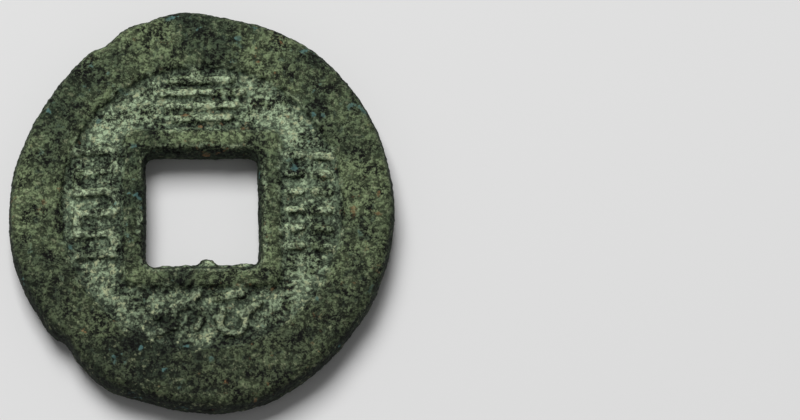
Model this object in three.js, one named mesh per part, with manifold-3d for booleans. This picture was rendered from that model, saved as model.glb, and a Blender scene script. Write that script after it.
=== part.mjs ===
// A cast bronze cash coin: one casting with a square hole, wide rims, sunken fields and worn relief.
// Millimetres, +Z up. The reverse lies on Z = 0, the obverse faces up, and +Y is the sprue side.
import * as THREE from "three";
import { mergeVertices } from "three/addons/utils/BufferGeometryUtils.js";
import Module from "manifold-3d";

// Whole coin
const halfWidth = 10.0;
const halfHeight = 10.65;
const thickness = 2.3;
const edgeRound = 0.5; // how far the mould seam stands out past the flat faces
const seamBand = 0.3; // height of the upright band at the seam
const outlineSteps = 120;

// Square hole, measured at the seam, where it is narrowest
const holeHalfWidth = 2.9;
const holeHalfHeight = 3.05;
const holeCorner = 0.45;
const holeShift = { x: 0, y: -0.12 };
const rimLineWidth = 0.55; // the narrow raised line round the hole

// Sunken fields
const fieldDepth = 0.38;
const fieldSlope = 0.28;
const obverseField = { halfWidth: 7.45, halfHeight: 7.85, x: 0, y: -0.05 };
const reverseField = { halfWidth: 7.0, halfHeight: 7.3, x: -0.2, y: -0.3 };
const fieldSteps = 60;

// Relief
const reliefHeight = 0.26; // above the field, a little below the rim
const reliefRound = 0.07;
const strokeWidth = 0.42;
const overlap = 0.2; // how far a piece of relief is rooted in the metal

// Places where the outline swells or falls in: where, in degrees from +X, how far and how wide
const outlineMarks = [
  { name: "filed flat right of the sprue", at: 78, out: -0.13, spread: 8 },
  { name: "sprue stub", at: 97, out: 0.22, spread: 8 },
  { name: "shoulder left of the sprue", at: 111, out: 0.12, spread: 5 },
  { name: "nick left of the sprue", at: 119.5, out: -0.24, spread: 2.8 },
  { name: "filed flat, upper left", at: 142, out: -0.2, spread: 13 },
  { name: "filed flat, left", at: 160, out: -0.1, spread: 6 },
  { name: "swelling, left", at: 194, out: 0.12, spread: 11 },
  { name: "notch, lower left", at: 226, out: -0.34, spread: 3.6 },
  { name: "swelling, lower left", at: 243, out: 0.22, spread: 8 },
  { name: "swelling, bottom", at: 284, out: 0.24, spread: 16 },
  { name: "flat, lower right", at: 318, out: -0.08, spread: 9 },
];

const wasm = await Module();
wasm.setup();

const radians = THREE.MathUtils.degToRad;

// Distance from the middle to the seam at an angle in degrees: an ellipse with the marks on it.
function outlineRadius(degrees) {
  const a = radians(degrees);
  const ellipse =
    (halfWidth * halfHeight) / Math.hypot(halfHeight * Math.cos(a), halfWidth * Math.sin(a));
  const swell = ({ at, out, spread }) => out * Math.exp(-(((degrees - at) / spread) ** 2));
  return outlineMarks.reduce((sum, mark) => sum + swell(mark), ellipse);
}

// The outline's points, moved so that their box is centred on the origin.
function outlinePoints() {
  const points = [];
  for (let i = 0; i < outlineSteps; i++) {
    const degrees = (360 * i) / outlineSteps;
    const a = radians(degrees);
    points.push(new THREE.Vector2(Math.cos(a), Math.sin(a)).multiplyScalar(outlineRadius(degrees)));
  }
  const middle = new THREE.Box2().setFromPoints(points).getCenter(new THREE.Vector2());
  return points.map((point) => point.sub(middle));
}

function ellipseShape({ halfWidth: rx, halfHeight: ry, x, y }) {
  const points = [];
  for (let i = 0; i < fieldSteps; i++) {
    const a = (2 * Math.PI * i) / fieldSteps;
    points.push(new THREE.Vector2(x + rx * Math.cos(a), y + ry * Math.sin(a)));
  }
  return new THREE.Shape(points);
}

// A rectangle with round corners, as a path that can be a shape or a hole in one.
function roundedRectangle(path, halfX, halfY, corner, centre) {
  const [x0, x1] = [centre.x - halfX, centre.x + halfX];
  const [y0, y1] = [centre.y - halfY, centre.y + halfY];
  path.moveTo(x0 + corner, y0);
  path.lineTo(x1 - corner, y0);
  path.absarc(x1 - corner, y0 + corner, corner, -Math.PI / 2, 0);
  path.lineTo(x1, y1 - corner);
  path.absarc(x1 - corner, y1 - corner, corner, 0, Math.PI / 2);
  path.lineTo(x0 + corner, y1);
  path.absarc(x0 + corner, y1 - corner, corner, Math.PI / 2, Math.PI);
  path.lineTo(x0, y0 + corner);
  path.absarc(x0 + corner, y0 + corner, corner, Math.PI, 1.5 * Math.PI);
  return path;
}

// A closed geometry as a solid that can be joined and cut.
function solid(geometry) {
  const bare = geometry.index ? geometry.toNonIndexed() : geometry.clone();
  bare.deleteAttribute("normal");
  bare.deleteAttribute("uv");
  const merged = mergeVertices(bare, 1e-4);
  return new wasm.Manifold(
    new wasm.Mesh({
      numProp: 3,
      vertProperties: merged.attributes.position.array,
      triVerts: new Uint32Array(merged.index.array),
    }),
  );
}

// Turns what is drawn on the upper face over to the reverse, as the coin is turned over left to right.
function turnedOver(geometry) {
  return geometry.rotateY(Math.PI).translate(0, 0, thickness);
}

// The coin before its fields are sunk: rounded edges outside and in the hole, widest at the seam.
function blank() {
  const shape = new THREE.Shape(outlinePoints());
  shape.holes.push(
    roundedRectangle(new THREE.Path(), holeHalfWidth, holeHalfHeight, holeCorner, holeShift),
  );
  const roundHeight = (thickness - seamBand) / 2;
  const geometry = new THREE.ExtrudeGeometry(shape, {
    depth: seamBand,
    curveSegments: 4,
    bevelThickness: roundHeight,
    bevelSize: edgeRound,
    bevelOffset: -edgeRound,
    bevelSegments: 3,
  });
  return solid(geometry.translate(0, 0, roundHeight));
}

// What is cut from one face: the ring of field between the rim and the line round the hole.
function fieldCutter(field) {
  const shape = ellipseShape(field);
  const reach = edgeRound + rimLineWidth;
  shape.holes.push(
    roundedRectangle(
      new THREE.Path(),
      holeHalfWidth + reach,
      holeHalfHeight + reach,
      holeCorner,
      holeShift,
    ),
  );
  return new THREE.ExtrudeGeometry(shape, {
    depth: fieldDepth,
    curveSegments: 3,
    bevelThickness: fieldDepth,
    bevelSize: fieldSlope,
    bevelOffset: -fieldSlope,
    bevelSegments: 1,
  }).translate(0, 0, thickness);
}

// Relief on the upper face, drawn by its outline.
function raised(shape) {
  return new THREE.ExtrudeGeometry(shape, {
    depth: overlap + reliefHeight - reliefRound,
    curveSegments: 3,
    bevelThickness: reliefRound,
    bevelSize: reliefRound,
    bevelOffset: -reliefRound,
    bevelSegments: 1,
  }).translate(0, 0, thickness - fieldDepth - overlap);
}

// A straight stroke with round ends.
function bar(x0, y0, x1, y1, width = strokeWidth) {
  const along = Math.atan2(y1 - y0, x1 - x0);
  const shape = new THREE.Shape();
  shape.absarc(x1, y1, width / 2, along - Math.PI / 2, along + Math.PI / 2);
  shape.absarc(x0, y0, width / 2, along + Math.PI / 2, along + 1.5 * Math.PI);
  return raised(shape);
}

// Part of a ring, for curls and crescents.
function curl(x, y, radius, startDegrees, endDegrees, width = strokeWidth) {
  const [start, end] = [radians(startDegrees), radians(endDegrees)];
  const shape = new THREE.Shape();
  shape.absarc(x, y, radius + width / 2, start, end);
  shape.absarc(x, y, radius - width / 2, end, start, true);
  return raised(shape);
}

function dot(x, y, radius) {
  const shape = new THREE.Shape();
  shape.absarc(x, y, radius, 0, 2 * Math.PI);
  return raised(shape);
}

// Obverse, above the hole: a stack of level bars with a bead on top.
function barStack() {
  const levels = [4.75, 5.45, 6.15, 6.85];
  const reach = [1.5, 1.75, 2.1, 1.55];
  return [...levels.map((y, i) => bar(-reach[i], y, reach[i], y + 0.08)), dot(-0.35, 7.35, 0.3)];
}

// Obverse, left of the hole: a running fret, which turns back at alternate ends.
function fret() {
  const [inner, outer, first, pitch, turns] = [-4.55, -6.45, 2.9, 1.12, 6];
  const strokes = [];
  for (let i = 0; i < turns; i++) {
    const y = first - pitch * i;
    strokes.push(bar(outer, y, inner, y + 0.15));
    const end = i % 2 ? outer : inner;
    if (i < turns - 1) strokes.push(bar(end, y + 0.08, end, y - pitch + 0.08));
  }
  return strokes;
}

// Obverse, right of the hole: level bars broken in the middle.
function brokenBars() {
  const [first, pitch, count] = [2.75, 0.98, 6];
  const strokes = [];
  for (let i = 0; i < count; i++) {
    const y = first - pitch * i;
    strokes.push(bar(4.5, y, 5.2, y), bar(5.85, y, 6.6, y - 0.08));
  }
  return strokes;
}

// Obverse, below the hole: two cloud curls with slanting tails.
function cloudCurls() {
  return [
    curl(-0.75, -6.0, 0.75, -60, 215),
    bar(-1.35, -6.45, -2.9, -7.0),
    bar(-0.2, -4.75, -2.35, -5.95),
    curl(1.55, -6.2, 0.7, 120, 400),
    bar(2.1, -5.8, 2.95, -5.2),
    bar(0.7, -4.95, 2.1, -4.75),
  ];
}

// Reverse, above the hole, as seen from that side: a crescent with beads.
function crescentAndBeads() {
  return [curl(0, 6.1, 1.45, 200, 340, 0.5), dot(0, 6.0, 0.38), dot(-2.25, 5.35, 0.3), dot(2.25, 5.35, 0.3)];
}

// Reverse, beside the hole: a wavy tendril with beads, on the side given by the sign.
function tendril(side) {
  const x = side * 5.35;
  return [
    curl(x, 1.75, 0.8, 90, 270),
    curl(x, 0.15, 0.8, -90, 90),
    curl(x, -1.45, 0.8, 90, 270),
    dot(x + 0.15, 1.75, 0.26),
    dot(x - 0.15, 0.15, 0.26),
    dot(x + 0.25, -2.7, 0.3),
  ];
}

// Thin jagged metal that ran into the mould's seam, along the lower wall of the hole.
function seamFlash() {
  const wall = holeShift.y - holeHalfHeight;
  const teeth = [0.12, 0.24, 0.15, 0.3, 0.2, 0.14, 0.28, 0.22, 0.36, 0.3];
  const [left, right, thin] = [-2.5, 2.75, 0.26];
  const points = teeth.map(
    (out, i) => new THREE.Vector2(left + ((right - left) * i) / (teeth.length - 1), wall + out),
  );
  points.push(new THREE.Vector2(right, wall - overlap), new THREE.Vector2(left, wall - overlap));
  return new THREE.ExtrudeGeometry(new THREE.Shape(points.reverse()), {
    depth: thin,
    bevelEnabled: false,
  }).translate(0, 0, (thickness - thin) / 2);
}

// The bead of metal that stands on the flash.
function seamBead() {
  const wall = holeShift.y - holeHalfHeight;
  return new THREE.SphereGeometry(1, 10, 6).scale(0.62, 0.52, 0.48).translate(0.28, wall + 0.08, thickness / 2);
}

// A shallow ledge along the reverse edge beside the sprue, where the two mould halves met badly.
function ledgeCutter() {
  const [inner, outer, depth] = [9.45, 11.5, 0.35];
  const [start, end] = [radians(62), radians(88)];
  const shape = new THREE.Shape();
  shape.absarc(0, 0.35, outer, start, end);
  shape.absarc(0, 0.35, inner, end, start, true);
  return new THREE.ExtrudeGeometry(shape, {
    depth: depth + overlap,
    curveSegments: 8,
    bevelEnabled: false,
  }).translate(0, 0, thickness - depth);
}

function coinGeometry() {
  const cuts = [
    fieldCutter(obverseField),
    turnedOver(fieldCutter(reverseField)),
    turnedOver(ledgeCutter()),
  ];
  const obverse = [...barStack(), ...fret(), ...brokenBars(), ...cloudCurls()];
  const reverse = [...crescentAndBeads(), ...tendril(-1), ...tendril(1)].map(turnedOver);
  const joins = [...obverse, ...reverse, seamFlash(), seamBead()];
  const sunk = cuts.reduce((rest, cutter) => rest.subtract(solid(cutter)), blank());
  const cast = joins.reduce((whole, piece) => whole.add(solid(piece)), sunk);
  const { vertProperties, triVerts } = cast.getMesh();
  const geometry = new THREE.BufferGeometry();
  geometry.setAttribute("position", new THREE.BufferAttribute(vertProperties, 3));
  geometry.setIndex(new THREE.BufferAttribute(triVerts, 1));
  geometry.computeVertexNormals();
  return geometry;
}

const bronze = new THREE.MeshStandardMaterial({ color: 0x4d5640, roughness: 0.8, metalness: 0.3 });

const coin = new THREE.Mesh(coinGeometry(), bronze);
coin.name = "coin";

const cashCoin = new THREE.Group();
cashCoin.add(coin);

export default cashCoin;
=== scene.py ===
"""A worn cast bronze cash coin with a square hole, lying on pale paper under a soft light from above."""

import logging
import math
from dataclasses import dataclass
from enum import Enum
from typing import Any, Union

import bmesh
import bpy
import numpy as np
from mathutils import Matrix, Vector, noise

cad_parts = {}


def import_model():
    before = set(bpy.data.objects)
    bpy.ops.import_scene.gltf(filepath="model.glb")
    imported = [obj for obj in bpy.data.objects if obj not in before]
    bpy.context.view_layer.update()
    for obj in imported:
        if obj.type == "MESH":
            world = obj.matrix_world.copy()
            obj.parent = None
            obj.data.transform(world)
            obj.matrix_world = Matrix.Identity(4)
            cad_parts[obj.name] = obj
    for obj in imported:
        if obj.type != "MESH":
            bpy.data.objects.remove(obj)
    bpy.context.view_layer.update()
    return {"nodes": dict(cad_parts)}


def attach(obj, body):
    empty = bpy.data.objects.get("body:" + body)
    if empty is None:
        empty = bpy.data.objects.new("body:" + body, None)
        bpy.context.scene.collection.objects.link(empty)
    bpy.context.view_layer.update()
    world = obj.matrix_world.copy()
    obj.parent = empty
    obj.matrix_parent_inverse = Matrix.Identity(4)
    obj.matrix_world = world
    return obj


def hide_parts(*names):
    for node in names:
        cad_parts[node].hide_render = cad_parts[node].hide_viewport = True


LOG = logging.getLogger("cash_coin")
MILLIMETRE = 0.001
Colour = tuple[float, float, float]


class Zone(Enum):
    """The parts of the coin's skin that the bronze tells apart, by the name of their attribute."""

    SUNKEN = "sunken"
    CREVICE = "crevice"
    RIDGE = "ridge"
    EDGE = "edge"


class Socket:
    """A number or colour in a node tree, on which sums are written as Python expressions."""

    def __init__(self, tree: "Tree", output: bpy.types.NodeSocket) -> None:
        """Wraps an output.

        Args:
            tree: The tree that new nodes go into.
            output: The output that is wrapped.
        """
        self.tree = tree
        self.output = output

    def _math(self, operation: str, *values: "Value") -> "Socket":
        """Adds one Math node.

        Args:
            operation: The node's operation.
            values: Its inputs, in order.

        Returns:
            The node's result.
        """
        return self.tree.node("ShaderNodeMath", {"operation": operation}, dict(enumerate(values)))

    def __add__(self, other: "Value") -> "Socket":
        """Returns the sum."""
        return self._math("ADD", self, other)

    __radd__ = __add__

    def __sub__(self, other: "Value") -> "Socket":
        """Returns this less the other."""
        return self._math("SUBTRACT", self, other)

    def __rsub__(self, other: "Value") -> "Socket":
        """Returns the other less this."""
        return self._math("SUBTRACT", other, self)

    def __mul__(self, other: "Value") -> "Socket":
        """Returns the product."""
        return self._math("MULTIPLY", self, other)

    __rmul__ = __mul__

    def ramp(self, low: float, high: float) -> "Socket":
        """Rises smoothly from 0 at one value to 1 at another.

        Args:
            low: The value that gives 0.
            high: The value that gives 1.

        Returns:
            The smoothed and clamped result.
        """
        settings = {"interpolation_type": "SMOOTHSTEP"}
        inputs = {"Value": self, "From Min": low, "From Max": high}
        return self.tree.node("ShaderNodeMapRange", settings, inputs)


Value = Union[Socket, float, int, tuple]


@dataclass(frozen=True)
class Pattern:
    """A noise pattern: its waves to a metre, how many finer layers it has, and how strong those are."""

    per_metre: float
    layers: float
    rough: float


class Tree:
    """A material's node tree."""

    def __init__(self, name: str) -> None:
        """Makes an empty material.

        Args:
            name: The material's name.
        """
        self.material = bpy.data.materials.new(name)
        self.material.use_nodes = True
        self.nodes = self.material.node_tree.nodes
        self.links = self.material.node_tree.links
        self.nodes.clear()

    def node(
        self, kind: str, settings: dict[str, Any], inputs: dict[Any, Value], output: Union[int, str] = 0
    ) -> Socket:
        """Adds a node.

        Args:
            kind: The node's type.
            settings: Its properties, which are set first.
            inputs: A value or a link for each named or numbered input.
            output: The output that is wanted.

        Returns:
            That output.
        """
        made = self.nodes.new(kind)
        for name, value in settings.items():
            setattr(made, name, value)
        for name, value in inputs.items():
            if isinstance(value, Socket):
                self.links.new(value.output, made.inputs[name])
            else:
                made.inputs[name].default_value = value
        return Socket(self, made.outputs[output])

    def mix(self, factor: Value, first: Value, second: Value) -> Socket:
        """Mixes two colours.

        Args:
            factor: 0 for the first colour, 1 for the second.
            first: A colour or a link.
            second: A colour or a link.

        Returns:
            The mixed colour.
        """
        factor_input, first_input, second_input, colour_output = 0, 6, 7, 2
        ends = [value if isinstance(value, Socket) else (*value, 1.0) for value in (first, second)]
        inputs = {factor_input: factor, first_input: ends[0], second_input: ends[1]}
        return self.node("ShaderNodeMix", {"data_type": "RGBA"}, inputs, output=colour_output)

    def scaled(self, colour: Value, amount: Value) -> Socket:
        """Makes a colour lighter or darker.

        Args:
            colour: A colour or a link.
            amount: The number that it is multiplied by.

        Returns:
            The new colour.
        """
        return self.node("ShaderNodeVectorMath", {"operation": "SCALE"}, {0: colour, "Scale": amount})

    def attribute(self, zone: Zone) -> Socket:
        """Reads a number that the mesh holds at each point.

        Args:
            zone: The zone that the number is for.

        Returns:
            The number, from 0 outside the zone to 1 in it.
        """
        return self.node("ShaderNodeAttribute", {"attribute_name": zone.value}, {}, output="Fac")

    def noise(self, where: Socket, pattern: Pattern) -> Socket:
        """Adds a noise pattern.

        Args:
            where: The coordinates it is read at.
            pattern: Its fineness and layers.

        Returns:
            The pattern, about 0.5 on average.
        """
        inputs = {
            "Vector": where,
            "Scale": pattern.per_metre,
            "Detail": pattern.layers,
            "Roughness": pattern.rough,
        }
        return self.node("ShaderNodeTexNoise", {}, inputs, output="Fac")

    def finished(self, shader: Socket) -> bpy.types.Material:
        """Gives the material its surface.

        Args:
            shader: The surface's shader.

        Returns:
            The material.
        """
        out = self.nodes.new("ShaderNodeOutputMaterial")
        self.links.new(shader.output, out.inputs["Surface"])
        return self.material


class Skin:
    """What the bronze reads at a point of the coin: its place, its zones and the noise patterns there."""

    def __init__(self, tree: Tree, bronze: "PatinatedBronze") -> None:
        """Adds the nodes that are read more than once.

        Args:
            tree: The material's tree.
            bronze: The finish, which holds the patterns.
        """
        self.tree = tree
        self.where = tree.node("ShaderNodeTexCoord", {}, {}, output="Object")
        self.sunken = tree.attribute(Zone.SUNKEN)
        self.crevice = tree.attribute(Zone.CREVICE)
        self.ridge = tree.attribute(Zone.RIDGE)
        self.edge = tree.attribute(Zone.EDGE)
        self.cloud = tree.noise(self.where, bronze.cloud)
        self.blotch = tree.noise(self.where, bronze.blotch)
        self.grain = tree.noise(self.where, bronze.grain)
        self.speck = tree.noise(self.where, bronze.speck)


@dataclass(frozen=True)
class PatinatedBronze:
    """Old bronze under a dark olive patina, with what has settled on it, and painted shade in its creases
    and on its side walls.
    """

    rim: Colour = (0.066, 0.086, 0.043)
    rim_dark: Colour = (0.016, 0.025, 0.013)
    floor: Colour = (0.140, 0.182, 0.115)
    crest: Colour = (0.24, 0.285, 0.185)
    # painted shade: near black laid in the creases, where shade falls
    crease_shade: Colour = (0.018, 0.028, 0.018)
    # painted shade: near black laid on the side walls of the rim and of the hole
    edge: Colour = (0.016, 0.024, 0.014)
    deposit: Colour = (0.40, 0.44, 0.26)
    rust: Colour = (0.27, 0.15, 0.065)
    verdigris: Colour = (0.085, 0.19, 0.185)

    cloud: Pattern = Pattern(260, 5, 0.62)
    blotch: Pattern = Pattern(900, 4, 0.65)
    grain: Pattern = Pattern(4600, 3, 0.8)
    speck: Pattern = Pattern(3900, 3, 0.65)
    rust_spots: Pattern = Pattern(1500, 4, 0.7)
    green_spots: Pattern = Pattern(1150, 3, 0.6)

    crest_cover: float = 0.42
    # how far the painted shade covers the creases
    crease_shade_cover: float = 0.72
    rust_cover: float = 0.7
    green_cover: float = 0.75
    deposit_everywhere: float = 0.3
    deposit_in_field: float = 0.48

    # the colour is darkened towards the coin's lower side, between these heights
    darkening_from_y: float = -0.0095
    darkening_to_y: float = 0.002
    darkening_raggedness: float = 0.012

    worn_roughness: float = 0.52
    dull_roughness: float = 0.9
    bare_metal: float = 0.35
    gloss: float = 0.25
    bump_strength: float = 0.9
    bump_height: float = 0.00016

    def patina(self, skin: Skin) -> Socket:
        """Colours each zone: pale field and crests, dark rims, and painted shade in the creases and on the
        side walls.

        Args:
            skin: What is read at a point.

        Returns:
            The patina's colour, with its painted shade, before it is shaded.
        """
        tree = skin.tree
        colour = tree.mix(skin.cloud.ramp(0.36, 0.62), self.rim_dark, self.rim)
        colour = tree.mix(skin.sunken * skin.blotch.ramp(0.3, 0.55), colour, self.floor)
        crests = skin.sunken * skin.ridge.ramp(0.2, 1.0) * skin.blotch.ramp(0.4, 0.6)
        colour = tree.mix(crests * self.crest_cover, colour, self.crest)
        # painted shade: the creases are darkened where shade falls
        colour = tree.mix(skin.crevice.ramp(0.15, 0.85) * self.crease_shade_cover, colour, self.crease_shade)
        # painted shade: the side walls are darkened where shade falls
        return tree.mix(skin.edge, colour, self.edge)

    def shaded(self, skin: Skin, colour: Socket) -> Socket:
        """Breaks a colour up into grain and blotches, and darkens it towards the coin's lower side.

        Args:
            skin: What is read at a point.
            colour: The patina's colour.

        Returns:
            The shaded colour.
        """
        tree = skin.tree
        shade = 0.02 + skin.grain.ramp(0.44, 0.6) * 2.1 + skin.blotch.ramp(0.38, 0.62) * 0.8
        # darker towards the bottom, along a ragged line
        y = tree.node("ShaderNodeSeparateXYZ", {}, {0: skin.where}, output="Y")
        ragged_y = y + (skin.cloud - 0.5) * self.darkening_raggedness
        spared_from_darkening = ragged_y.ramp(self.darkening_from_y, self.darkening_to_y)
        return tree.scaled(tree.scaled(colour, shade), 0.5 + spared_from_darkening * 0.6)

    def settled(self, skin: Skin, colour: Socket) -> Socket:
        """Lays pale deposit on a colour, most of it in the fields, then spots of rust and verdigris.

        Args:
            skin: What is read at a point.
            colour: The colour under them.

        Returns:
            The colour with what has settled on it.
        """
        tree = skin.tree
        reach = self.deposit_everywhere + skin.sunken * self.deposit_in_field
        kept = 1 - skin.crevice.ramp(0.2, 0.9) * 0.5
        deposit = reach * kept * skin.speck.ramp(0.5, 0.66) * skin.blotch.ramp(0.4, 0.58)
        colour = tree.mix(deposit.ramp(0.05, 0.7), colour, self.deposit)
        rust = tree.noise(skin.where, self.rust_spots).ramp(0.61, 0.7) * skin.cloud.ramp(0.5, 0.62)
        colour = tree.mix(rust * self.rust_cover, colour, self.rust)
        green = tree.noise(skin.where, self.green_spots).ramp(0.64, 0.7) * (1 - skin.cloud.ramp(0.4, 0.55))
        return tree.mix(green * self.green_cover, colour, self.verdigris)

    def bump(self, skin: Skin) -> Socket:
        """Raises the grain that is finer than the mesh.

        Args:
            skin: What is read at a point.

        Returns:
            The bent normal.
        """
        height = skin.grain * 0.6 + skin.blotch * 0.5 + skin.speck * 0.3
        inputs = {"Strength": self.bump_strength, "Distance": self.bump_height, "Height": height}
        return skin.tree.node("ShaderNodeBump", {}, inputs, output="Normal")

    def build(self) -> bpy.types.Material:
        """Makes the material.

        Returns:
            The material, which reads the coin's attributes and Object coordinates.
        """
        tree = Tree("patinated_bronze")
        skin = Skin(tree, self)
        rubbed = (1 - skin.sunken) * (1 - skin.edge) * skin.grain.ramp(0.42, 0.62)
        inputs = {
            "Base Color": self.settled(skin, self.shaded(skin, self.patina(skin))),
            "Roughness": self.dull_roughness - rubbed * (self.dull_roughness - self.worn_roughness),
            "Metallic": rubbed * self.bare_metal,
            "Normal": self.bump(skin),
            "Specular IOR Level": self.gloss,
        }
        return tree.finished(tree.node("ShaderNodeBsdfPrincipled", {}, inputs))


@dataclass(frozen=True)
class Paper:
    """The pale paper that the coin lies on."""

    colour: Colour = (0.82, 0.82, 0.82)
    roughness: float = 0.95
    gloss: float = 0.2

    def build(self) -> bpy.types.Material:
        """Returns the paper's material."""
        tree = Tree("paper")
        inputs = {
            "Base Color": (*self.colour, 1.0),
            "Roughness": self.roughness,
            "Specular IOR Level": self.gloss,
        }
        return tree.finished(tree.node("ShaderNodeBsdfPrincipled", {}, inputs))


@dataclass(frozen=True)
class Casting:
    """How rough the casting's skin is: heights in millimetres, fineness in waves to a millimetre."""

    swell: float = 0.05
    swell_waves: float = 0.55
    lump: float = 0.036
    lump_waves: float = 1.9
    pit: float = 0.132
    pit_waves: float = 3.1
    pit_threshold: float = 0.18
    pit_offset: tuple[float, float, float] = (7.0, 3.0, 1.0)
    grain: float = 0.04
    grain_waves: float = 6.5
    worn_down: float = 0.012

    def height(self, at: Vector) -> float:
        """How far the skin stands out at a point, or in where it is negative.

        Args:
            at: The point, in millimetres.

        Returns:
            The distance along the normal, in millimetres.
        """
        swell = self.swell * noise.noise(at * self.swell_waves)
        lumps = self.lump * noise.noise(at * self.lump_waves)
        depth = noise.noise(at * self.pit_waves + Vector(self.pit_offset))
        pits = -self.pit * max(0.0, depth - self.pit_threshold)
        grain = self.grain * noise.noise(at * self.grain_waves)
        return swell + lumps + pits + grain - self.worn_down


def share(amount: np.ndarray, span: float) -> np.ndarray:
    """Returns the amount as a share of a span, kept between 0 and 1."""
    return np.clip(amount / span, 0, 1)


@dataclass
class Coin:
    """The coin's casting: the CAD solid, worn, pitted and grained. Sizes are in millimetres."""

    cast: bpy.types.Object
    skin: Casting = Casting()
    thickness: float = 2.3
    field_radius: float = 8.1
    field_ovalness: float = 0.96
    weld: float = 0.0005
    voxel: float = 0.102
    wear_passes: int = 5
    hollow_passes: int = 14
    full_bend: float = 0.04

    def remeshed(self) -> bpy.types.Object:
        """Copies the solid and covers it with an even net of small faces.

        Returns:
            The new piece, in millimetres for now.
        """
        mesh = self.cast.data.copy()
        mesh.materials.clear()
        mesh.transform(Matrix.Scale(1 / MILLIMETRE, 4))
        solid = bmesh.new()
        solid.from_mesh(mesh)
        bmesh.ops.remove_doubles(solid, verts=solid.verts, dist=self.weld)
        solid.to_mesh(mesh)
        solid.free()
        piece = bpy.data.objects.new("bronze_coin", mesh)
        bpy.context.scene.collection.objects.link(piece)
        net = piece.modifiers.new("net", "REMESH")
        net.mode = "VOXEL"
        net.voxel_size = self.voxel
        depsgraph = bpy.context.evaluated_depsgraph_get()
        even = bpy.data.meshes.new_from_object(piece.evaluated_get(depsgraph))
        piece.modifiers.clear()
        piece.data = even
        bpy.data.meshes.remove(mesh)
        return piece

    def wear(self, piece: bpy.types.Object) -> None:
        """Softens every edge, then roughens the skin.

        Args:
            piece: The remeshed coin, in millimetres.
        """
        metal = bmesh.new()
        metal.from_mesh(piece.data)
        for _ in range(self.wear_passes):
            bmesh.ops.smooth_vert(
                metal, verts=metal.verts, factor=0.5, use_axis_x=True, use_axis_y=True, use_axis_z=True
            )
        metal.normal_update()
        for vert in metal.verts:
            vert.co += vert.normal * self.skin.height(vert.co)
        metal.to_mesh(piece.data)
        metal.free()

    def zones(self, piece: bpy.types.Object) -> dict[Zone, np.ndarray]:
        """Works out how far each point is in each zone.

        Args:
            piece: The worn coin, in millimetres.

        Returns:
            A number from 0 to 1 for each point, by zone.
        """
        mesh = piece.data
        points = self.read(mesh.vertices, "co", 3, float)
        normals = self.read(mesh.vertices, "normal", 3, float)
        ends = self.read(mesh.edges, "vertices", 2, int)
        half = self.thickness / 2
        below = half - np.abs(points[:, 2] - half)
        upright = np.abs(normals[:, 2])
        radius = np.hypot(points[:, 0], points[:, 1] * self.field_ovalness)
        bend = np.einsum("ij,ij->i", self.averaged(points, ends) - points, normals) / self.full_bend
        inside = share(self.field_radius - radius, 0.4)
        return {
            Zone.SUNKEN: inside * share(below - 0.06, 0.1) * share(upright - 0.55, 0.3),
            # the crevice number also carries the painted shade into the creases
            Zone.CREVICE: np.clip(bend, 0, 1),
            Zone.RIDGE: np.clip(-bend, 0, 1),
            # the edge number carries the painted shade onto the side walls
            Zone.EDGE: share(0.8 - upright, 0.35) * share(below - 0.12, 0.3),
        }

    def read(self, items: bpy.types.bpy_prop_collection, name: str, width: int, kind: type) -> np.ndarray:
        """Copies a property of a mesh's points or edges.

        Args:
            items: The points or edges.
            name: The property.
            width: How many numbers each holds.
            kind: The type of the numbers.

        Returns:
            One row for each point or edge.
        """
        values = np.empty(len(items) * width, dtype=kind)
        items.foreach_get(name, values)
        return values.reshape(-1, width)

    def averaged(self, values: np.ndarray, ends: np.ndarray) -> np.ndarray:
        """Averages numbers over each point's neighbourhood.

        Args:
            values: One row for each point.
            ends: The two points of each edge.

        Returns:
            The averages, one row for each point.
        """
        count = len(values)
        first, second = ends[:, 0], ends[:, 1]
        links = np.bincount(ends.ravel(), minlength=count)[:, None]
        for _ in range(self.hollow_passes):
            sums = [
                np.bincount(first, column[second], count) + np.bincount(second, column[first], count)
                for column in values.T
            ]
            values = (values + np.column_stack(sums)) / (links + 1)
        return values

    def build(self) -> bpy.types.Object:
        """Makes the coin and dresses it.

        Returns:
            The coin, in metres.
        """
        piece = self.remeshed()
        self.wear(piece)
        for zone, values in self.zones(piece).items():
            attribute = piece.data.attributes.new(zone.value, "FLOAT", "POINT")
            attribute.data.foreach_set("value", values.astype(np.float32))
        piece.data.transform(Matrix.Scale(MILLIMETRE, 4))
        piece.data.shade_smooth()
        piece.data.materials.append(PatinatedBronze().build())
        return piece


@dataclass(frozen=True)
class Window:
    """The one soft lamp. Places and sizes are in metres, the power in watts."""

    place: tuple[float, float, float] = (-0.12, 0.31, 0.55)
    size: float = 0.34
    power: float = 3.8

    def build(self) -> bpy.types.Object:
        """Makes the lamp, which looks at the coin.

        Returns:
            The lamp.
        """
        data = bpy.data.lights.new("window", "AREA")
        data.size = self.size
        data.energy = self.power
        lamp = bpy.data.objects.new("window", data)
        bpy.context.scene.collection.objects.link(lamp)
        lamp.location = self.place
        lamp.rotation_euler = (-Vector(self.place)).to_track_quat("-Z", "Y").to_euler()
        return lamp


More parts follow.
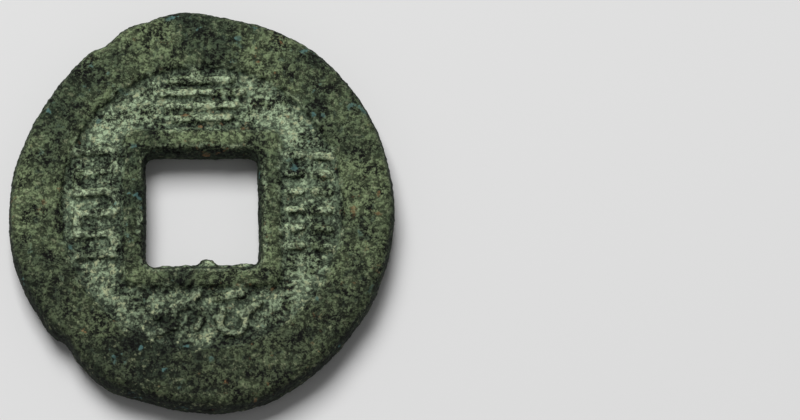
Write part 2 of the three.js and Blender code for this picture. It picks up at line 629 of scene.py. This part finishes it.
@dataclass
class Studio:
    """The paper, the light and the camera. Places are in metres."""

    photo_width: int = 800
    coin_centre_px: tuple[float, float] = (202.0, 204.5)
    photo_centre_px: tuple[float, float] = (400.0, 210.0)
    pixels_to_metre: float = 19300.0
    tilt: float = math.radians(17)
    lens_mm: float = 200.0
    sensor_mm: float = 36.0
    nearest: float = 0.01
    floor_size: float = 3.0
    face_height: float = 0.0023
    sky_strength: float = 0.17

    def floor(self) -> bpy.types.Object:
        """Returns the paper, a wide square under the coin."""
        mesh = bpy.data.meshes.new("paper")
        sheet = bmesh.new()
        bmesh.ops.create_grid(sheet, x_segments=1, y_segments=1, size=self.floor_size / 2)
        sheet.to_mesh(mesh)
        sheet.free()
        paper = bpy.data.objects.new("paper", mesh)
        bpy.context.scene.collection.objects.link(paper)
        mesh.materials.append(Paper().build())
        return paper

    def camera(self) -> bpy.types.Object:
        """Makes the camera, turned so that the coin lies where the photograph has it.

        Returns:
            The camera.
        """
        data = bpy.data.cameras.new("camera")
        data.lens = self.lens_mm
        data.sensor_width = self.sensor_mm
        data.clip_start = self.nearest
        focal_px = self.photo_width * self.lens_mm / self.sensor_mm
        distance = focal_px / self.pixels_to_metre
        towards_camera = Vector((0, -math.sin(self.tilt), math.cos(self.tilt)))
        right = Vector((1, 0, 0))
        up = towards_camera.cross(right)
        target = Vector((0, 0, self.face_height))
        across = (self.photo_centre_px[0] - self.coin_centre_px[0]) / self.pixels_to_metre
        down = (self.photo_centre_px[1] - self.coin_centre_px[1]) / self.pixels_to_metre
        looked_at = target + right * across - up * down
        place = target + towards_camera * distance
        camera = bpy.data.objects.new("camera", data)
        bpy.context.scene.collection.objects.link(camera)
        backward = (place - looked_at).normalized()
        level = up.cross(backward).normalized()
        axes = Matrix((level, backward.cross(level), backward)).transposed()
        camera.matrix_world = Matrix.Translation(place) @ axes.to_4x4()
        bpy.context.scene.camera = camera
        return camera

    def sky(self) -> None:
        """Lights everything faintly from all round."""
        world = bpy.data.worlds.new("sky")
        world.use_nodes = True
        background = world.node_tree.nodes["Background"]
        background.inputs["Color"].default_value = (1.0, 1.0, 1.0, 1.0)
        background.inputs["Strength"].default_value = self.sky_strength
        bpy.context.scene.world = world

    def build(self) -> None:
        """Sets up the paper, the light and the camera."""
        self.floor()
        self.camera()
        Window().build()
        self.sky()
        bpy.context.scene.view_settings.view_transform = "Standard"


def main() -> None:
    """Builds the coin round the CAD frame, and the studio round the coin."""
    logging.basicConfig(level=logging.INFO, format="%(name)s: %(message)s")
    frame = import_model()
    piece = Coin(frame["nodes"]["coin"]).build()
    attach(piece, "root")
    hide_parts("coin")
    LOG.info("%s has %d faces", piece.name, len(piece.data.polygons))
    Studio().build()


if __name__ == "__main__":
    main()
